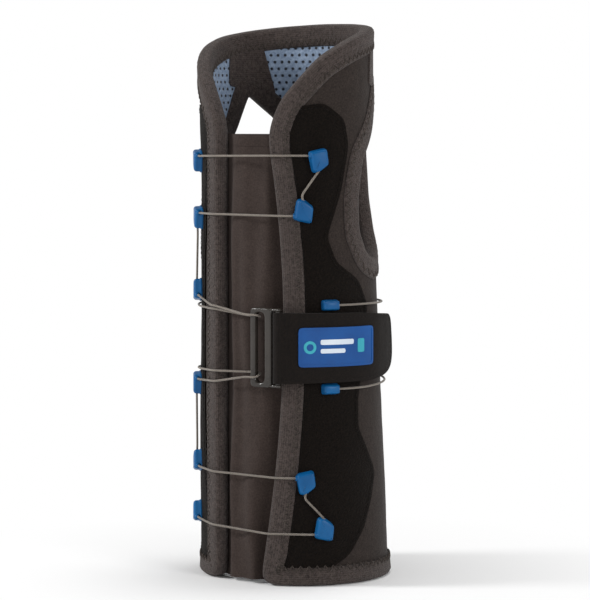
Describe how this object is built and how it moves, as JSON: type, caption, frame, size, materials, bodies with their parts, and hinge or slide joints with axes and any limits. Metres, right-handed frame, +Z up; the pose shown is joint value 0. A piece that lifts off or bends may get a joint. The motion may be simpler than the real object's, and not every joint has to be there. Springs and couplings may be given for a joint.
{
  "type": "wrist splint",
  "caption": "Lace-up tubular wrist splint with a V-necked hand end, thumb holes, a lacing gap with a tongue, lace guides, a pull ring and a hook-tipped strap.",
  "frame": {"origin": "centre of the bounding box at the level of the forearm end, which it stands on", "axes": "+Z up from the forearm end to the hand end, the lacing gap and tongue face -Y, +X towards the flap that carries the strap"},
  "size_m": [0.0877, 0.0837, 0.24],
  "materials": {
    "sleeve_fabric": "brushed knit, matt",
    "spacer_mesh_lining": "open spacer mesh, matt",
    "elastic_edge_tape": "ribbed elastic tape, matt",
    "loop_pile": "short loop pile",
    "guide_plastic": "moulded, semi-gloss",
    "lace_braid": "fine braided cord",
    "tongue_softshell": "smooth bonded fabric, matt",
    "ring_plastic": "moulded, satin",
    "strap_webbing": "bonded strap fabric, matt",
    "hook_pad": "moulded micro hooks",
    "label_rubber": "soft moulded, satin",
    "pocket_fabric": "plain woven, matt",
    "palm_stay_metal": "rolled sheet, satin",
    "dorsal_stay_plastic": "flat boning, satin"
  },
  "bodies": {
    "main": {"dorsal_stay_left": "dorsal_stay_plastic", "edge_tape_main": "elastic_edge_tape", "lace_guide_left_1": "guide_plastic", "lace_guide_left_2": "guide_plastic", "lace_guide_left_3": "guide_plastic", "lace_guide_left_4": "guide_plastic", "lace_guide_left_5": "guide_plastic", "lace_guide_left_6": "guide_plastic", "lining_main": "spacer_mesh_lining", "loop_patch_left": "loop_pile", "lower_lace": "lace_braid", "outer_shell_main": "sleeve_fabric", "palm_stay_pocket": "pocket_fabric", "thumb_hole_tape_left": "elastic_edge_tape", "tongue": "tongue_softshell", "upper_lace": "lace_braid"},
    "right_flap": {"dorsal_stay_right": "dorsal_stay_plastic", "edge_tape_right_flap": "elastic_edge_tape", "lace_guide_right_1": "guide_plastic", "lace_guide_right_2": "guide_plastic", "lace_guide_right_3": "guide_plastic", "lace_guide_right_4": "guide_plastic", "lace_guide_right_5": "guide_plastic", "lace_guide_right_6": "guide_plastic", "lining_right_flap": "spacer_mesh_lining", "loop_patch_right": "loop_pile", "outer_shell_right_flap": "sleeve_fabric", "thumb_hole_tape_right": "elastic_edge_tape"},
    "ring": {"pull_ring": "ring_plastic"},
    "strap": {"pull_strap": "strap_webbing", "strap_hook_pad": "hook_pad", "label": "label_rubber"},
    "stay": {"palm_stay": "palm_stay_metal"}
  },
  "joints": [
    {"name": "right_flap_open", "type": "hinge", "parent": "main", "child": "right_flap", "pos_m": [0.01583, 0.03868, 0], "axis": [-0.0024, -0.0639, 0.998], "range_deg": [0, 25], "deforming": ["upper_lace", "lower_lace"]},
    {"name": "ring_lift", "type": "hinge", "parent": "right_flap", "child": "ring", "pos_m": [0.00643, -0.0391, 0.102], "axis": [0, 0, -1], "range_deg": [0, 40]},
    {"name": "strap_peel", "type": "hinge", "parent": "ring", "child": "strap", "pos_m": [0.01863, -0.0391, 0.102], "axis": [0, 0, -1], "range_deg": [0, 110]},
    {"name": "palm_stay_slide", "type": "slide", "parent": "main", "child": "stay", "axis": [0, -0.0665, 0.9978], "range_m": [0, 0.15]}
  ]
}
